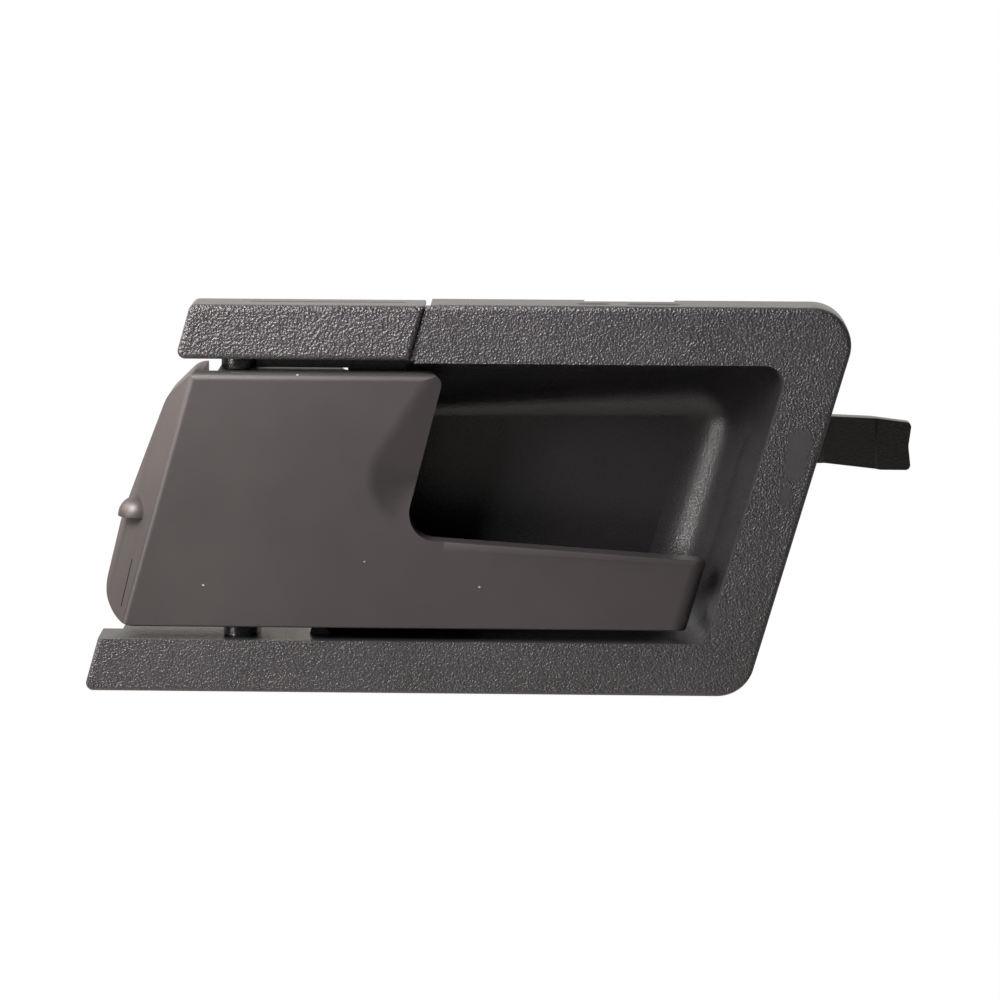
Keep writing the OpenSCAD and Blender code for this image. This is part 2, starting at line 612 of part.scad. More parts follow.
// Path of the spring wire: a leg bent to the lever's face, the coils, and a leg under the lug.
function spring_path() = let (n = coils * 16, h = coils * coil_pitch,
    inner_y = lever_y + lever_wall + wire_d / 2 + slide_gap - pivot_y,
    lug_x = bowl_wall_x(spring_z) + pivot_x - slide_gap - wire_d / 2) concat(
    [[-coil_r - 9, inner_y, -h / 2], [-coil_r - 6, inner_y, -h / 2], [-coil_r, -coil_r, -h / 2]],
    [for (i = [0 : n]) let (a = -90 + 360 * i / 16) [coil_r * cos(a), coil_r * sin(a), -h / 2 + h * i / n]],
    [[coil_r, -coil_r, h / 2], [lug_x / 2, -coil_r, h / 2], [lug_x, -coil_r, h / 2]]);
module wire(path, d) {
    sides = 8;
    n = len(path);
    ring_points = [for (i = [0 : n - 1])
        let (t = unit(path[min(i + 1, n - 1)] - path[max(i - 1, 0)]), u = unit(cross(t, [0, 0, 1])), v = cross(u, t))
        for (s = [0 : sides - 1]) path[i] + d / 2 * (cos(360 * s / sides) * u + sin(360 * s / sides) * v)];
    polyhedron(points = ring_points, faces = concat(
        [[for (s = [0 : sides - 1]) s]],
        [for (i = [0 : n - 2]) for (s = [0 : sides - 1])
            [i * sides + s, (i + 1) * sides + s, (i + 1) * sides + (s + 1) % sides, i * sides + (s + 1) % sides]],
        [[for (s = [sides - 1 : -1 : 0]) (n - 1) * sides + s]]));
}
module return_spring() {
    color([0.6, 0.6, 0.62]) translate([-pivot_x, pivot_y, spring_z]) wire(spring_path(), wire_d);
}

module rod_clip() {
    flange_t = 1;
    bush_r = eye_r - clip_gap;
    gutter_l = 12;
    bottom = eye_z - flange_t - clip_gap;
    color([0.85, 0.85, 0.8]) difference() {
        union() {
            translate([-pivot_x, eye_y, bottom]) cylinder(h = rear_arm_t + 2 * flange_t + 2 * clip_gap, r = bush_r);
            translate([-pivot_x, eye_y, eye_z + rear_arm_t + clip_gap]) cylinder(h = flange_t, r = eye_r + 0.8);
            translate([-pivot_x, eye_y, bottom]) cylinder(h = flange_t, r = eye_r + 1.2);
            translate([-pivot_x, eye_y - rod_r - 1, bottom - 2 * rod_r])
                cube([gutter_l, 2 * rod_r + 2, 2 * rod_r + flange_t]);
        }
        translate([-pivot_x, eye_y, bottom - 4 * rod_r]) cylinder(h = 8 * rod_r + rear_arm_t, r = rod_r + clip_gap);
        translate([-pivot_x, eye_y, bottom - rod_r]) rotate([0, 90, 0]) cylinder(h = 2 * gutter_l, r = rod_r + clip_gap);
        translate([-pivot_x, eye_y - rod_r + 0.3, bottom - 3 * rod_r]) cube([2 * gutter_l, 2 * rod_r - 0.6, 2 * rod_r]);
    }
}

module bump_stop() {
    height = stop_seat - (lever_y + lever_wall) - slide_gap;
    color([0.12, 0.12, 0.12]) translate([stop_x, stop_seat, open_mid]) rotate([90, 0, 0]) {
        cylinder(h = height, r = stop_r);
        translate([0, 0, -2 * stop_stem]) cylinder(h = 2 * stop_stem, r = stop_stem);
    }
}

housing();
screw_cover();
lever();
pivot_pin();
pin_retainer();
return_spring();
rod_clip();
bump_stop();
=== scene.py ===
"""Dresses a car interior door handle: moulded housing, screw cover, pull lever and its hardware.

Everything is in metres in the part's own frame: X along the door, Y into the door, Z up, with
the fixing screw's axis on the seating plane as the origin.
"""
import math

import bmesh
import bpy
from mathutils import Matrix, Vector


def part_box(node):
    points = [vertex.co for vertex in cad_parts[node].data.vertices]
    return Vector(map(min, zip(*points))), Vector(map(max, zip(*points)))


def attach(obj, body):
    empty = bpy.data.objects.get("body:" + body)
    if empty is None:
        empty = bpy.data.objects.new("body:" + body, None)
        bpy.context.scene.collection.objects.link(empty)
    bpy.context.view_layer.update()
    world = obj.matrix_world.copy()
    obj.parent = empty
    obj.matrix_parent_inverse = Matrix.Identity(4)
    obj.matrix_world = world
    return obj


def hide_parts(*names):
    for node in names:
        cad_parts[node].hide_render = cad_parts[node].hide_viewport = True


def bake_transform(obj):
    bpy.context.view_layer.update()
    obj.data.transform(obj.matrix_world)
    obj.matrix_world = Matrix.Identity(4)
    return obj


bl_info = {
    "name": "Interior door handle",
    "version": (1, 0, 0),
    "blender": (4, 5, 0),
    "location": "View3D > Sidebar > Door handle",
    "description": "Finishes the housing, screw cover, pull lever and hardware of a car door handle",
    "category": "Object",
}

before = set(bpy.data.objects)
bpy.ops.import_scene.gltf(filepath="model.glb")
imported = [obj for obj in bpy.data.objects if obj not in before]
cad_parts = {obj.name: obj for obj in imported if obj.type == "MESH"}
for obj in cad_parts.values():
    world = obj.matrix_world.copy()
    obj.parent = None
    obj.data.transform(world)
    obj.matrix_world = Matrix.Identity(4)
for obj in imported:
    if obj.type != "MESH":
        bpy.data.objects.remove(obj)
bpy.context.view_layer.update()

MM = 0.001
# The bezel's slanted ends run this far along X for each step along Z.
LEAN = math.tan(math.radians(15.8))
# The pin's axis in X and Y.
PIN = (-0.013, 0.0022)
# The return spring's wire and coils, as radii to the wire's skin and to its middle.
WIRE_RADIUS = 0.6 * MM
COIL_RADIUS = 2.7 * MM
COILS = 5
# Points closer than the first are merged, and faces turned by less than the second are one.
MERGE_WITHIN = 0.00002
FLAT_WITHIN = math.radians(0.4)
# Edges turned by more than the first are broken, and those under the second are shaded smooth.
BROKEN_OVER = math.radians(38)
SMOOTH_UNDER = math.radians(32)
# Index of refraction of ABS and polyamide.
PLASTIC_IOR = 1.53
# Sockets of a Mix node in its colour mode.
FIRST_COLOUR, SECOND_COLOUR, MIXED_COLOUR = 6, 7, 2
# Painted shade on the bowl's walls, as the share of colour taken off against the face's, and the grain's
# depth on the walls against the face's.
WALL_PAINTED_SHADE = 0.6
WALL_GRAIN = 0.22


def linear(code):
    """Turns an sRGB hex colour into the linear RGBA that a shader socket takes."""
    parts = [int(code[i:i + 2], 16) / 255 for i in (1, 3, 5)]
    return tuple(c / 12.92 if c <= 0.04045 else ((c + 0.055) / 1.055) ** 2.4 for c in parts) + (1.0,)


def colour(code, name, description):
    """A colour that the panel shows, given as an sRGB hex value."""
    return bpy.props.FloatVectorProperty(
        name=name, description=description, subtype="COLOR", size=4, min=0, max=1, default=linear(code))


def length(mm, name, description):
    """A length that the panel shows, given in millimetres."""
    return bpy.props.FloatProperty(
        name=name, description=description, unit="LENGTH", min=0, default=mm * MM, precision=5)


def angle(degrees, name, description):
    """An angle that the panel shows, given in degrees."""
    return bpy.props.FloatProperty(
        name=name, description=description, subtype="ANGLE", default=math.radians(degrees))


def watts(power, name, description):
    """A lamp's power that the panel shows, given in watts."""
    return bpy.props.FloatProperty(
        name=name, description=description, subtype="POWER", min=0, default=power)


class HandleFinish(bpy.types.PropertyGroup):
    """Colours and grain sizes of the handle's own plastics."""
    housing_colour: colour("#302e31", "Housing", "Black ABS of the housing")
    housing_grain: length(0.42, "Housing grain", "Width of one pit of the spark-eroded grain")
    cover_colour: colour("#323033", "Cover", "Black ABS of the screw cover")
    cover_grain: length(0.5, "Cover grain", "Width of one pit of the cover's coarser grain")
    lever_colour: colour("#322e2f", "Lever", "Black polyamide of the pull lever")
    lever_grain: length(0.3, "Lever grain", "Width of the satin grain on the lever")
    edge_break: length(0.35, "Edge break", "Radius that the mould leaves on a sharp edge")
    arm_round: length(1.7, "Arm's round", "Radius along the top edge of the lever's arm")


class HandleStage(bpy.types.PropertyGroup):
    """Camera and light."""
    distance: length(800, "Camera distance", "From the camera to the middle of the face")
    azimuth: angle(1.25, "Azimuth", "Turn of the view to the right")
    elevation: angle(10.5, "Elevation", "Height of the view over level")
    roll: angle(0.27, "Roll", "Tilt of the picture")
    key_power: watts(1.95, "Key light", "Power of the soft key light")
    streak_power: watts(0.45, "Streak lamp", "Power of the small lamp on the left")
    rim_power: watts(1.2, "Rim light", "Power of the warm rim light")


def add(tree, kind, inputs=None, links=None, **settings):
    """Adds one node with its settings, its input values, and links as {input: (node, output)}."""
    node = tree.nodes.new(kind)
    for name, value in settings.items():
        setattr(node, name, value)
    for socket, value in (inputs or {}).items():
        node.inputs[socket].default_value = value
    for socket, (source, output) in (links or {}).items():
        tree.links.new(source.outputs[output], node.inputs[socket])
    return node


def new_material(name):
    """A node material that holds only its coordinates: the material, its tree and that node."""
    material = bpy.data.materials.new(name)
    material.use_nodes = True
    tree = material.node_tree
    tree.nodes.clear()
    place = add(tree, "ShaderNodeTexCoord")
    return material, tree, place


def close_material(tree, shader):
    """Joins the shader to the material's output."""
    add(tree, "ShaderNodeOutputMaterial", links={"Surface": (shader, 0)})


def near_line(tree, place, start, end, radius, soft):
    """A mask that is 1 within a radius in mm of a line between two points in mm, and fades to 0."""
    run = Vector(end) - Vector(start)
    way = add(tree, "ShaderNodeVectorMath", operation="SUBTRACT",
              links={0: (place, "Object")}, inputs={1: Vector(start) * MM})
    along = add(tree, "ShaderNodeVectorMath", operation="DOT_PRODUCT",
                links={0: (way, 0)}, inputs={1: run / (run.length_squared * MM)})
    share = add(tree, "ShaderNodeClamp", links={"Value": (along, "Value")})
    foot = add(tree, "ShaderNodeVectorMath", operation="SCALE",
               inputs={0: run * MM}, links={"Scale": (share, 0)})
    apart = add(tree, "ShaderNodeVectorMath", operation="DISTANCE", links={0: (way, 0), 1: (foot, 0)})
    return add(tree, "ShaderNodeMapRange", interpolation_type="SMOOTHSTEP",
               links={"Value": (apart, "Value")},
               inputs={"From Min": radius * MM, "From Max": (radius + soft) * MM,
                       "To Min": 1.0, "To Max": 0.0})


def marked(tree, place, marks):
    """The largest of several near_line masks: marks is a list of (start, end, radius, soft)."""
    mask = near_line(tree, place, *marks[0])
    for mark in marks[1:]:
        mask = add(tree, "ShaderNodeMath", operation="MAXIMUM",
                   links={0: (mask, 0), 1: (near_line(tree, place, *mark), 0)})
    return mask


def uneven(tree, tone, base, *stops):
    """Varies a colour along a noise: each stop is (the noise's value, the colour's factor)."""
    shade = add(tree, "ShaderNodeValToRGB", links={"Fac": (tone, "Fac")})
    for element, (position, factor) in zip(shade.color_ramp.elements, stops):
        element.position = position
        element.color = tuple(c * factor for c in base[:3]) + (1,)
    return shade


def grained_abs(name, base, grain, depth, gloss, worn):
    """Moulded ABS from a spark-eroded tool: fine pits whose flanks glint, a faint uneven tone, and
    painted shade on the walls of the bowl and the opening.
    """
    material, tree, place = new_material(name)
    pits = add(tree, "ShaderNodeTexVoronoi", feature="SMOOTH_F1", links={"Vector": (place, "Object")},
               inputs={"Scale": 1 / grain, "Smoothness": 0.35, "Randomness": 1.0})
    fine = add(tree, "ShaderNodeTexNoise", links={"Vector": (place, "Object")},
               inputs={"Scale": 1.9 / grain, "Detail": 3.0, "Roughness": 0.6})
    height = add(tree, "ShaderNodeMath", operation="MULTIPLY_ADD", inputs={1: 0.55},
                 links={0: (fine, "Fac"), 2: (pits, "Distance")})
    # Where hands have rubbed it, the grain is flattened and duller.
    rubbed = marked(tree, place, worn)
    kept = add(tree, "ShaderNodeMapRange", links={"Value": (rubbed, 0)},
               inputs={"To Min": 1.0, "To Max": 0.12})
    # The grain is on the show face, and the walls that draw from the mould are nearly smooth.
    parts = add(tree, "ShaderNodeSeparateXYZ", links={0: (place, "Object")})
    face = add(tree, "ShaderNodeMapRange", links={"Value": (parts, "Y")},
               inputs={"From Min": -0.0093, "From Max": -0.0082, "To Min": 1.0, "To Max": WALL_GRAIN})
    left = add(tree, "ShaderNodeMath", operation="MULTIPLY", links={0: (kept, 0), 1: (face, 0)})
    bump = add(tree, "ShaderNodeBump", inputs={"Distance": depth},
               links={"Height": (height, 0), "Strength": (left, 0)})
    tone = add(tree, "ShaderNodeTexNoise", links={"Vector": (place, "Object")},
               inputs={"Scale": 60.0, "Detail": 4.0, "Roughness": 0.6})
    shade = uneven(tree, tone, base, (0.3, 0.82), (0.7, 1.12))
    # Painted shade: the smooth walls of the bowl and the opening, below the top rim, get a darker colour
    # than the face.
    below = add(tree, "ShaderNodeMath", operation="LESS_THAN", links={0: (parts, "Z")}, inputs={1: 0.005})
    painted_wall_shade = add(tree, "ShaderNodeMapRange", links={"Value": (face, 0)},
                inputs={"From Min": WALL_GRAIN, "From Max": 1.0, "To Min": WALL_PAINTED_SHADE, "To Max": 0.0})
    inner = add(tree, "ShaderNodeMath", operation="MULTIPLY", links={0: (painted_wall_shade, 0), 1: (below, 0)})
    painted_shade_factor = add(tree, "ShaderNodeMath", operation="SUBTRACT", inputs={0: 1.0}, links={1: (inner, 0)})
    paint = add(tree, "ShaderNodeVectorMath", operation="SCALE",
                links={0: (shade, "Color"), "Scale": (painted_shade_factor, 0)})
    rough = add(tree, "ShaderNodeMapRange", links={"Value": (fine, "Fac")},
                inputs={"From Min": 0.3, "From Max": 0.7, "To Min": gloss - 0.07, "To Max": gloss + 0.1})
    dull = add(tree, "ShaderNodeMath", operation="MULTIPLY_ADD", inputs={1: 0.3},
               links={0: (rubbed, 0), 2: (rough, 0)})
    shader = add(tree, "ShaderNodeBsdfPrincipled", inputs={"IOR": PLASTIC_IOR},
                 links={"Base Color": (paint, 0), "Roughness": (dull, 0), "Normal": (bump, 0)})
    close_material(tree, shader)
    return material


def satin_polyamide(name, base, grain, cracks, specks):
    """Glass-filled polyamide from a fine-blasted tool: an even satin with pale specks of dust."""
    material, tree, place = new_material(name)
    fine = add(tree, "ShaderNodeTexNoise", links={"Vector": (place, "Object")},
               inputs={"Scale": 1 / grain, "Detail": 3.0, "Roughness": 0.65})
    bump = add(tree, "ShaderNodeBump", inputs={"Strength": 0.35, "Distance": 0.00004},
               links={"Height": (fine, "Fac")})
    tone = add(tree, "ShaderNodeTexNoise", links={"Vector": (place, "Object")},
               inputs={"Scale": 30.0, "Detail": 5.0, "Roughness": 0.6})
    shade = uneven(tree, tone, base, (0.3, 0.9), (0.72, 1.08))
    rough = add(tree, "ShaderNodeMapRange", links={"Value": (tone, "Fac")},
                inputs={"From Min": 0.3, "From Max": 0.7, "To Min": 0.42, "To Max": 0.5})
    # A hairline crack takes the light away, and dust gives a few pale specks.
    dusty = marked(tree, place, specks)
    dust = add(tree, "ShaderNodeMix", data_type="RGBA", inputs={SECOND_COLOUR: linear("#8d8a88")},
               links={"Factor": (dusty, 0), FIRST_COLOUR: (shade, "Color")})
    cracked = marked(tree, place, cracks)
    crack = add(tree, "ShaderNodeMix", data_type="RGBA", inputs={SECOND_COLOUR: linear("#070606")},
                links={"Factor": (cracked, 0), FIRST_COLOUR: (dust, MIXED_COLOUR)})
    shine = add(tree, "ShaderNodeMapRange", links={"Value": (cracked, 0)},
                inputs={"To Min": 0.5, "To Max": 0.0})
    shader = add(tree, "ShaderNodeBsdfPrincipled", inputs={"IOR": PLASTIC_IOR},
                 links={"Base Color": (crack, MIXED_COLOUR), "Roughness": (rough, 0), "Normal": (bump, 0),
                        "Specular IOR Level": (shine, 0)})
    close_material(tree, shader)
    return material


def drawn_steel(name, base, roughness, along):
    """Zinc-plated or bright drawn steel: fine lines along the draw."""
    material, tree, place = new_material(name)
    stretch = [1.0, 1.0, 1.0]
    stretch["XYZ".index(along)] = 0.05
    line = add(tree, "ShaderNodeMapping", links={"Vector": (place, "Object")}, inputs={"Scale": stretch})
    drawn = add(tree, "ShaderNodeTexNoise", links={"Vector": (line, 0)},
                inputs={"Scale": 6000.0, "Detail": 2.0})
    bump = add(tree, "ShaderNodeBump", inputs={"Strength": 0.25, "Distance": 0.00002},
               links={"Height": (drawn, "Fac")})
    rough = add(tree, "ShaderNodeMapRange", links={"Value": (drawn, "Fac")},
                inputs={"To Min": roughness - 0.08, "To Max": roughness + 0.08})
    shader = add(tree, "ShaderNodeBsdfPrincipled", inputs={"Metallic": 1.0, "Base Color": base},
                 links={"Roughness": (rough, 0), "Normal": (bump, 0)})
    close_material(tree, shader)
    return material


def natural_acetal():
    """Unpigmented acetal, moulded: milky, waxy and slightly translucent."""
    material, tree, place = new_material("natural acetal, moulded")
    haze = add(tree, "ShaderNodeTexNoise", links={"Vector": (place, "Object")},
               inputs={"Scale": 400.0, "Detail": 3.0})
    rough = add(tree, "ShaderNodeMapRange", links={"Value": (haze, "Fac")},
                inputs={"To Min": 0.3, "To Max": 0.45})
    shader = add(tree, "ShaderNodeBsdfPrincipled", links={"Roughness": (rough, 0)},
                 inputs={"Base Color": linear("#d8d4c6"), "IOR": 1.48, "Subsurface Weight": 0.2,
                         "Subsurface Radius": (0.002, 0.0018, 0.0015), "Subsurface Scale": 1.0})
    close_material(tree, shader)
    return material


def moulded_rubber():
    """Black moulded rubber: matt, with a fine bloom."""
    material, tree, place = new_material("black rubber, moulded")
    bloom = add(tree, "ShaderNodeTexNoise", links={"Vector": (place, "Object")},
                inputs={"Scale": 900.0, "Detail": 4.0})
    bump = add(tree, "ShaderNodeBump", inputs={"Strength": 0.3, "Distance": 0.00004},
               links={"Height": (bloom, "Fac")})
    shader = add(tree, "ShaderNodeBsdfPrincipled", links={"Normal": (bump, 0)},
                 inputs={"Base Color": linear("#1d1c1c"), "Roughness": 0.75, "IOR": 1.52})
    close_material(tree, shader)
    return material


def add_web(bm, corners, front, rear):
    """Adds a thin web to the piece: an outline in X and Z, between two depths in Y."""
    near = [bm.verts.new((x, front, z)) for x, z in corners]
    far = [bm.verts.new((x, rear, z)) for x, z in corners]
    bm.faces.new(near[::-1])
    bm.faces.new(far)
    for i in range(len(corners)):
        j = (i + 1) % len(corners)
        bm.faces.new((near[i], near[j], far[j], far[i]))


def drop_fin(bm, start, end):
    """Removes the hair-thin fin that the scoop's cuts leave along a line given in X and Z, in mm."""
    a, b = Vector(start) * MM, Vector(end) * MM
    run = b - a
    reach = 0.15 * MM
    rim_plane = -4 * MM

    def on_line(vert):
        flat = Vector((vert.co.x, vert.co.z))
        share = min(max((flat - a).dot(run) / run.length_squared, 0), 1)
        return (flat - a - share * run).length < reach and vert.co.y < rim_plane

    stray = [f for f in bm.faces if all(on_line(v) for v in f.verts)]
    bmesh.ops.delete(bm, geom=stray, context="FACES")
    near = [v for v in bm.verts if on_line(v)]
    bmesh.ops.remove_doubles(bm, verts=near, dist=reach)


def finished_copy(node, name, edge, material, body, rounds=(), soft=0.0, webs=(), fins=()):
    """A copy of a moulded CAD node with its sharp edges broken and its rounds shaded smooth.

    Each test in rounds picks edges, by their two faces, that get the wide round of radius soft.
    """
    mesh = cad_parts[node].data.copy()
    mesh.name = name
    bm = bmesh.new()
    bm.from_mesh(mesh)
    bmesh.ops.remove_doubles(bm, verts=bm.verts, dist=MERGE_WITHIN)
    for fin in fins:
        drop_fin(bm, *fin)
    bmesh.ops.dissolve_degenerate(bm, dist=MERGE_WITHIN, edges=bm.edges)
    bmesh.ops.dissolve_limit(bm, angle_limit=FLAT_WITHIN, verts=bm.verts, edges=bm.edges)
    for web in webs:
        add_web(bm, *web)
    bmesh.ops.recalc_face_normals(bm, faces=bm.faces)
    for picked in rounds:
        wide = [e for e in bm.edges if len(e.link_faces) == 2 and picked(e)]
        bmesh.ops.bevel(bm, geom=wide, offset=soft, offset_type="OFFSET", segments=5, profile=0.5,
                        affect="EDGES", clamp_overlap=True)
    sharp = [e for e in bm.edges if len(e.link_faces) == 2 and e.calc_face_angle(0) > BROKEN_OVER]
    bmesh.ops.bevel(bm, geom=sharp, offset=edge, offset_type="OFFSET", segments=2, profile=0.6,
                    affect="EDGES", clamp_overlap=True)
    # A wide face is truly flat, as the scoop's slopes are, and only narrow ones belong to rounds.
    narrow = 1.2 * MM
    for face in bm.faces:
        lengths = [e.calc_length() for e in face.edges]
        scooped = -0.993 < face.normal.y < -0.8 and max(lengths) > MM
        face.smooth = face.calc_area() < narrow * sum(lengths) and not (rounds and scooped)
    for e in bm.edges:
        e.smooth = len(e.link_faces) == 2 and e.calc_face_angle(0) < SMOOTH_UNDER
    bm.to_mesh(mesh)
    bm.free()
    # The import's own normals would shade the new faces wrongly.
    stored = mesh.attributes.get("custom_normal")
    if stored:
        mesh.attributes.remove(stored)
    piece = bpy.data.objects.new(name, mesh)
    bpy.context.scene.collection.objects.link(piece)
    mesh.materials.clear()
    mesh.materials.append(material)
    for polygon in mesh.polygons:
        polygon.material_index = 0
    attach(piece, body)
    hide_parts(node)
    return piece


def arm_edge(edge):
    """True for the edge between the lever's face and the wall of the arm and the crook."""
    face, wall = sorted(edge.link_faces, key=lambda f: f.normal.y)
    middle = (edge.verts[0].co + edge.verts[1].co) / 2
    return (face.normal.y < -0.85 and abs(wall.normal.y) < 0.3 and wall.normal.z > 0.8
            and middle.x > 0.02 and middle.y < -0.004 and middle.z < -0.03)


def flank_edge(edge):
    """True for the crease between the lever's face and the flank over its barrel."""
    face, flank = sorted(edge.link_faces, key=lambda f: f.normal.y)
    return face.normal.y < -0.97 and -0.9 < flank.normal.x < -0.6 and edge.calc_length() > 0.02


def sweep_tree():
    """Geometry nodes that sweep a round wire along the object's own edges."""
    tree = bpy.data.node_groups.new("round wire", "GeometryNodeTree")
    for name, way, kind in (("Geometry", "INPUT", "NodeSocketGeometry"),
                            ("Radius", "INPUT", "NodeSocketFloat"),
                            ("Material", "INPUT", "NodeSocketMaterial"),
                            ("Geometry", "OUTPUT", "NodeSocketGeometry")):
        tree.interface.new_socket(name=name, in_out=way, socket_type=kind)
    given = add(tree, "NodeGroupInput")
    path = add(tree, "GeometryNodeMeshToCurve", links={"Mesh": (given, "Geometry")})
    even = add(tree, "GeometryNodeResampleCurve", links={"Curve": (path, "Curve")}, mode="LENGTH",
               inputs={"Length": 0.0005})
    ring = add(tree, "GeometryNodeCurvePrimitiveCircle", links={"Radius": (given, "Radius")},
               inputs={"Resolution": 12})
    tube = add(tree, "GeometryNodeCurveToMesh", links={"Curve": (even, 0), "Profile Curve": (ring, 0)},
               inputs={"Fill Caps": True})
    real = add(tree, "GeometryNodeRealizeInstances", links={0: (tube, 0)})
    skin = add(tree, "GeometryNodeSetMaterial",
               links={"Geometry": (real, 0), "Material": (given, "Material")})
    add(tree, "NodeGroupOutput", links={"Geometry": (skin, 0)})
    return tree


def wire_piece(name, points, radius, material):
    """A round wire along a list of points, made by the sweep and then turned into a mesh."""
    mesh = bpy.data.meshes.new(name + "_path")
    mesh.from_pydata(points, [(i, i + 1) for i in range(len(points) - 1)], [])
    path = bpy.data.objects.new(name + "_path", mesh)
    bpy.context.scene.collection.objects.link(path)
    sweep = path.modifiers.new("wire", "NODES")
    sweep.node_group = sweep_tree()
    sockets = {item.name: item.identifier for item in sweep.node_group.interface.items_tree
               if item.in_out == "INPUT"}
    sweep[sockets["Radius"]] = radius
    sweep[sockets["Material"]] = material
    evaluated = path.evaluated_get(bpy.context.evaluated_depsgraph_get())
    swept = bpy.data.meshes.new_from_object(evaluated)
    path.modifiers.clear()
    bpy.data.objects.remove(path)
    swept.name = name
    for polygon in swept.polygons:
        polygon.use_smooth = True
    swept.set_sharp_from_angle(angle=math.radians(50))
    piece = bpy.data.objects.new(name, swept)
    bpy.context.scene.collection.objects.link(piece)
    return piece


def spring_path():
    """The wire's middle line: a leg in the lever, five coils round the pin, and a leg to the lug."""
    low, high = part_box("return_spring")
    x, y = PIN
    rise = high[2] - low[2] - 2 * WIRE_RADIUS
    middle = (low[2] + high[2]) / 2
    bottom, top = middle - rise / 2, middle + rise / 2
    inner = low[1] + WIRE_RADIUS
    path = [(low[0], inner, bottom), (low[0] + 3 * MM, inner, bottom),
            (x - COIL_RADIUS, y - COIL_RADIUS, bottom)]
    steps = 32
    for i in range(COILS * steps + 1):
        turn = math.radians(-90 + 360 * i / steps)
        path.append((x + COIL_RADIUS * math.cos(turn), y + COIL_RADIUS * math.sin(turn),
                     bottom + rise * i / (COILS * steps)))
    return path + [(x + COIL_RADIUS, y - COIL_RADIUS, top), (high[0], y - COIL_RADIUS, top)]


def dress(node, material):
    """Gives a CAD node that stays as it is its own material."""
    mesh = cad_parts[node].data
    mesh.materials.clear()
    mesh.materials.append(material)


def soft_lamp(scene, name, sides, power, tint, target, offset):
    """A rectangular area lamp at an offset from a target that it faces."""
    data = bpy.data.lights.new(name, "AREA")
    data.shape = "RECTANGLE"
    data.size, data.size_y = sides
    data.energy = power
    data.color = tint
    lamp = bpy.data.objects.new(name, data)
    scene.collection.objects.link(lamp)
    lamp.location = target + offset
    lamp.rotation_euler = (target - lamp.location).to_track_quat("-Z", "Y").to_euler()


class HANDLE_OT_housing(bpy.types.Operator):
    """Finish the moulded housing with its spark-eroded grain"""
    bl_idname = "handle.housing"
    bl_label = "Housing"

    def execute(self, context):
        finish = context.scene.handle_finish
        # Two spots on the right arm and two on the top rim, where the grain is rubbed off.
        worn = [((99.3, -10, -20.5), (98, -10, -26.5), 1.3, 1.6),
                ((96.6, -10, -31), (96.2, -10, -33), 0.4, 1.2),
                ((56, -6, 6), (59.6, -6, 6), 1.0, 0.8),
                ((66, -6, 6), (73.6, -6, 6), 1.0, 0.8)]
        plastic = grained_abs("black ABS, spark-eroded grain", tuple(finish.housing_colour),
                              finish.housing_grain, 0.0002, 0.3, worn)
        # Thin webs that close the seam beside the cover and the slit above the lever to the eye.
        low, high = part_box("screw_cover")
        seam_top = high[2] - 0.7 * MM
        seam = [(high[0] + side * MM - (high[2] - z) * LEAN, z)
                for side, z in ((0.2, low[2]), (1.6, low[2]), (1.6, seam_top), (0.2, seam_top))]
        left, right = -0.016, 0.0095
        slit_bottom, slit_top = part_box("lever")[1][2] + 0.0003, low[2] + 0.0006
        slit = [(left, slit_bottom), (right, slit_bottom), (right, slit_top), (left, slit_top)]
        finished_copy("housing", "moulded_housing", finish.edge_break, plastic, "handle_base",
                      webs=((seam, low[1] + 0.0009, -0.003), (slit, -0.0034, -0.0022)))
        return {"FINISHED"}


class HANDLE_OT_cover(bpy.types.Operator):
    """Finish the screw cover with its coarser grain"""
    bl_idname = "handle.cover"
    bl_label = "Screw cover"

    def execute(self, context):
        finish = context.scene.handle_finish
        # The line along the cover's top that is rubbed smooth.
        worn = [((-10, -4, 6), (20, -4, 6), 0.4, 0.6)]
        plastic = grained_abs("black ABS, coarse grain", tuple(finish.cover_colour),
                              finish.cover_grain, 0.00028, 0.28, worn)
        finished_copy("screw_cover", "slide_on_cover", finish.edge_break, plastic, "cover")
        return {"FINISHED"}


class HANDLE_OT_lever(bpy.types.Operator):
    """Finish the pull lever in satin polyamide"""
    bl_idname = "handle.lever"
    bl_label = "Pull lever"

    def execute(self, context):
        finish = context.scene.handle_finish
        # One crack runs down the flank, and four specks lie on the face.
        cracks = [((-34.6, -6.85, -46.5), (-36.9, -7.35, -56), 0.07, 0.14)]
        specks = [((-1, -8.6, -8.3), (-0.9, -8.6, -8.3), 0.12, 0.14),
                  ((35.4, -9.2, -51), (35.5, -9.2, -51), 0.12, 0.12),
                  ((12.3, -9.2, -46), (12.4, -9.2, -46), 0.09, 0.1),
                  ((-20.1, -9.2, -51.1), (-20, -9.2, -51.1), 0.12, 0.12)]
        plastic = satin_polyamide("black polyamide, satin moulded", tuple(finish.lever_colour),
                                  finish.lever_grain, cracks, specks)
        scoop_corner = (23.79, -29.31)
        fins = (((14.32, -23.16), scoop_corner), ((18.49, -39.29), scoop_corner))
        finished_copy("lever", "pull_lever_moulding", finish.edge_break, plastic, "pull_lever",
                      (arm_edge, flank_edge), finish.arm_round, fins=fins)
        return {"FINISHED"}


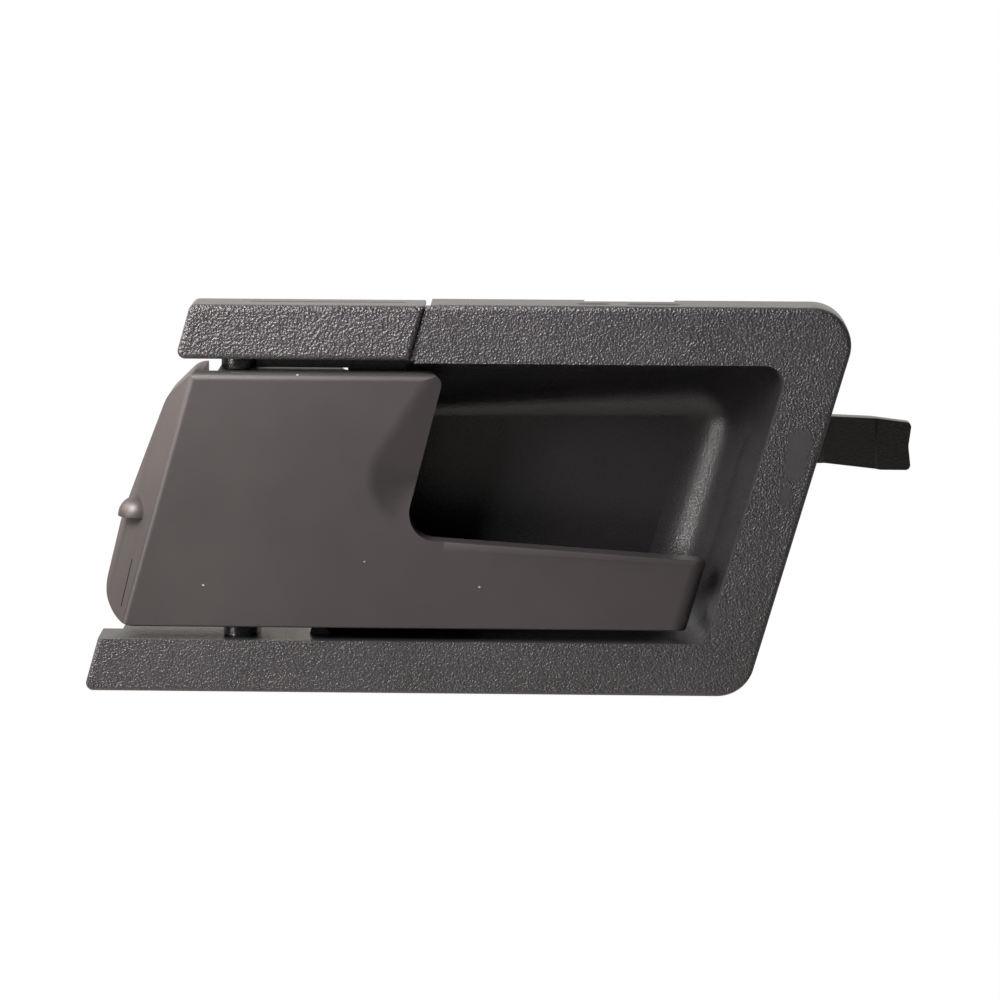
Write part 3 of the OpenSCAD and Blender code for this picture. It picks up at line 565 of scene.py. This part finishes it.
class HANDLE_OT_hardware(bpy.types.Operator):
    """Finish the pin, its retainer, the rod clip and the rubber stop"""
    bl_idname = "handle.hardware"
    bl_label = "Pin, clip and stop"

    def execute(self, context):
        dress("pivot_pin", drawn_steel("zinc-plated steel, drawn", linear("#b9bbc0"), 0.32, "Z"))
        dress("pin_retainer", drawn_steel("spring steel, pressed", linear("#83858a"), 0.38, "X"))
        steel = drawn_steel("spring steel, drawn wire", linear("#9b9da1"), 0.3, "X")
        spring = wire_piece("return_spring_wire", spring_path(), WIRE_RADIUS, steel)
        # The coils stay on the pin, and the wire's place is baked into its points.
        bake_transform(spring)
        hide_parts("return_spring")
        dress("rod_clip", natural_acetal())
        dress("bump_stop", moulded_rubber())
        return {"FINISHED"}


class HANDLE_OT_stage(bpy.types.Operator):
    """Set up the pale floor, the camera and the soft light"""
    bl_idname = "handle.stage"
    bl_label = "Stage"

    def execute(self, context):
        scene = context.scene
        stage = scene.handle_stage
        scene.view_settings.view_transform = "Standard"

        bpy.ops.mesh.primitive_plane_add(size=4, location=(0.04, 0, -0.26))
        floor = context.object
        floor.name = "pale_floor"
        material, tree, _ = new_material("pale painted floor")
        paint = add(tree, "ShaderNodeBsdfDiffuse", inputs={"Color": linear("#f4f3f1")})
        white = add(tree, "ShaderNodeEmission", inputs={"Color": linear("#ffffff"), "Strength": 1.0})
        ray = add(tree, "ShaderNodeLightPath")
        seen = add(tree, "ShaderNodeMath", operation="MULTIPLY", inputs={1: 0.995},
                   links={0: (ray, "Is Camera Ray")})
        mixed = add(tree, "ShaderNodeMixShader", links={0: (seen, 0), 1: (paint, 0), 2: (white, 0)})
        close_material(tree, mixed)
        floor.data.materials.append(material)

        # The room is white behind the handle and plain grey in front of it and above.
        world = bpy.data.worlds.new("plain studio")
        scene.world = world
        world.use_nodes = True
        tree = world.node_tree
        tree.nodes.clear()
        way = add(tree, "ShaderNodeTexCoord")
        parts = add(tree, "ShaderNodeSeparateXYZ", links={0: (way, "Generated")})
        behind = add(tree, "ShaderNodeMapRange", links={"Value": (parts, "Y")},
                     inputs={"From Min": 0.1, "From Max": 0.6, "To Min": 0.0, "To Max": 1.0})
        room = add(tree, "ShaderNodeMix", data_type="RGBA", links={"Factor": (behind, 0)},
                   inputs={FIRST_COLOUR: (0.07, 0.069, 0.071, 1), SECOND_COLOUR: (0.95, 0.9, 0.85, 1)})
        ray = add(tree, "ShaderNodeLightPath")
        lit = add(tree, "ShaderNodeBackground", links={"Color": (room, MIXED_COLOUR)},
                  inputs={"Strength": 1.0})
        white = add(tree, "ShaderNodeBackground", inputs={"Color": (1, 1, 1, 1), "Strength": 1.0})
        mixed = add(tree, "ShaderNodeMixShader",
                    links={0: (ray, "Is Camera Ray"), 1: (lit, 0), 2: (white, 0)})
        add(tree, "ShaderNodeOutputWorld", links={"Surface": (mixed, 0)})

        # The camera and the lamps all look at this point on the face.
        middle = Vector((0.03953, -0.010, -0.03304))
        soft_lamp(scene, "soft key", (0.12, 0.12), stage.key_power, (1.0, 0.97, 0.95),
                  middle, Vector((-0.165, -0.135, 0.17)))
        # A small lamp low on the left gives the streak on the fillet of the bowl's right wall.
        soft_lamp(scene, "streak lamp", (0.04, 0.06), stage.streak_power, (1.0, 0.97, 0.93),
                  middle, Vector((-0.34, -0.21, 0.035)))
        # A warm lamp behind and to the left gives the cream rims.
        soft_lamp(scene, "warm rim", (0.2, 0.2), stage.rim_power, (1.0, 0.84, 0.7),
                  middle, Vector((-0.34, 0.02, 0.2)))

        camera_data = bpy.data.cameras.new("camera")
        # At 0.8 m this lens gives 0.2 mm for one pixel, and it follows the distance.
        camera_data.lens = 144.3 * stage.distance / 0.8
        camera_data.sensor_width = 36
        camera = bpy.data.objects.new("camera", camera_data)
        scene.collection.objects.link(camera)
        scene.camera = camera
        away = Vector((math.sin(stage.azimuth) * math.cos(stage.elevation),
                       -math.cos(stage.azimuth) * math.cos(stage.elevation), math.sin(stage.elevation)))
        camera.location = middle + away * stage.distance
        turn = (-away).to_track_quat("-Z", "Y").to_matrix()
        across = turn.col[0] * math.cos(stage.roll) + turn.col[1] * math.sin(stage.roll)
        upward = turn.col[1] * math.cos(stage.roll) - turn.col[0] * math.sin(stage.roll)
        for row in range(3):
            turn[row][0], turn[row][1] = across[row], upward[row]
        camera.rotation_euler = turn.to_euler()
        return {"FINISHED"}


PIECES = (HANDLE_OT_housing, HANDLE_OT_cover, HANDLE_OT_lever, HANDLE_OT_hardware, HANDLE_OT_stage)


class HANDLE_PT_sidebar(bpy.types.Panel):
    """Lists the handle's finishes, its pieces and its stage"""
    bl_idname = "HANDLE_PT_sidebar"
    bl_label = "Door handle"
    bl_space_type = "VIEW_3D"
    bl_region_type = "UI"
    bl_category = "Door handle"

    def draw(self, context):
        layout = self.layout
        for group in (context.scene.handle_finish, context.scene.handle_stage):
            for name in group.__annotations__:
                layout.prop(group, name)
        for piece in PIECES:
            layout.operator(piece.bl_idname)


CLASSES = (HandleFinish, HandleStage) + PIECES + (HANDLE_PT_sidebar,)


def register():
    for cls in CLASSES:
        bpy.utils.register_class(cls)
    bpy.types.Scene.handle_finish = bpy.props.PointerProperty(type=HandleFinish)
    bpy.types.Scene.handle_stage = bpy.props.PointerProperty(type=HandleStage)


def unregister():
    del bpy.types.Scene.handle_stage
    del bpy.types.Scene.handle_finish
    for cls in reversed(CLASSES):
        bpy.utils.unregister_class(cls)


def main():
    """Registers the add-on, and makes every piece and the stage."""
    register()
    bpy.ops.handle.housing()
    bpy.ops.handle.cover()
    bpy.ops.handle.lever()
    bpy.ops.handle.hardware()
    bpy.ops.handle.stage()


if __name__ == "__main__":
    main()
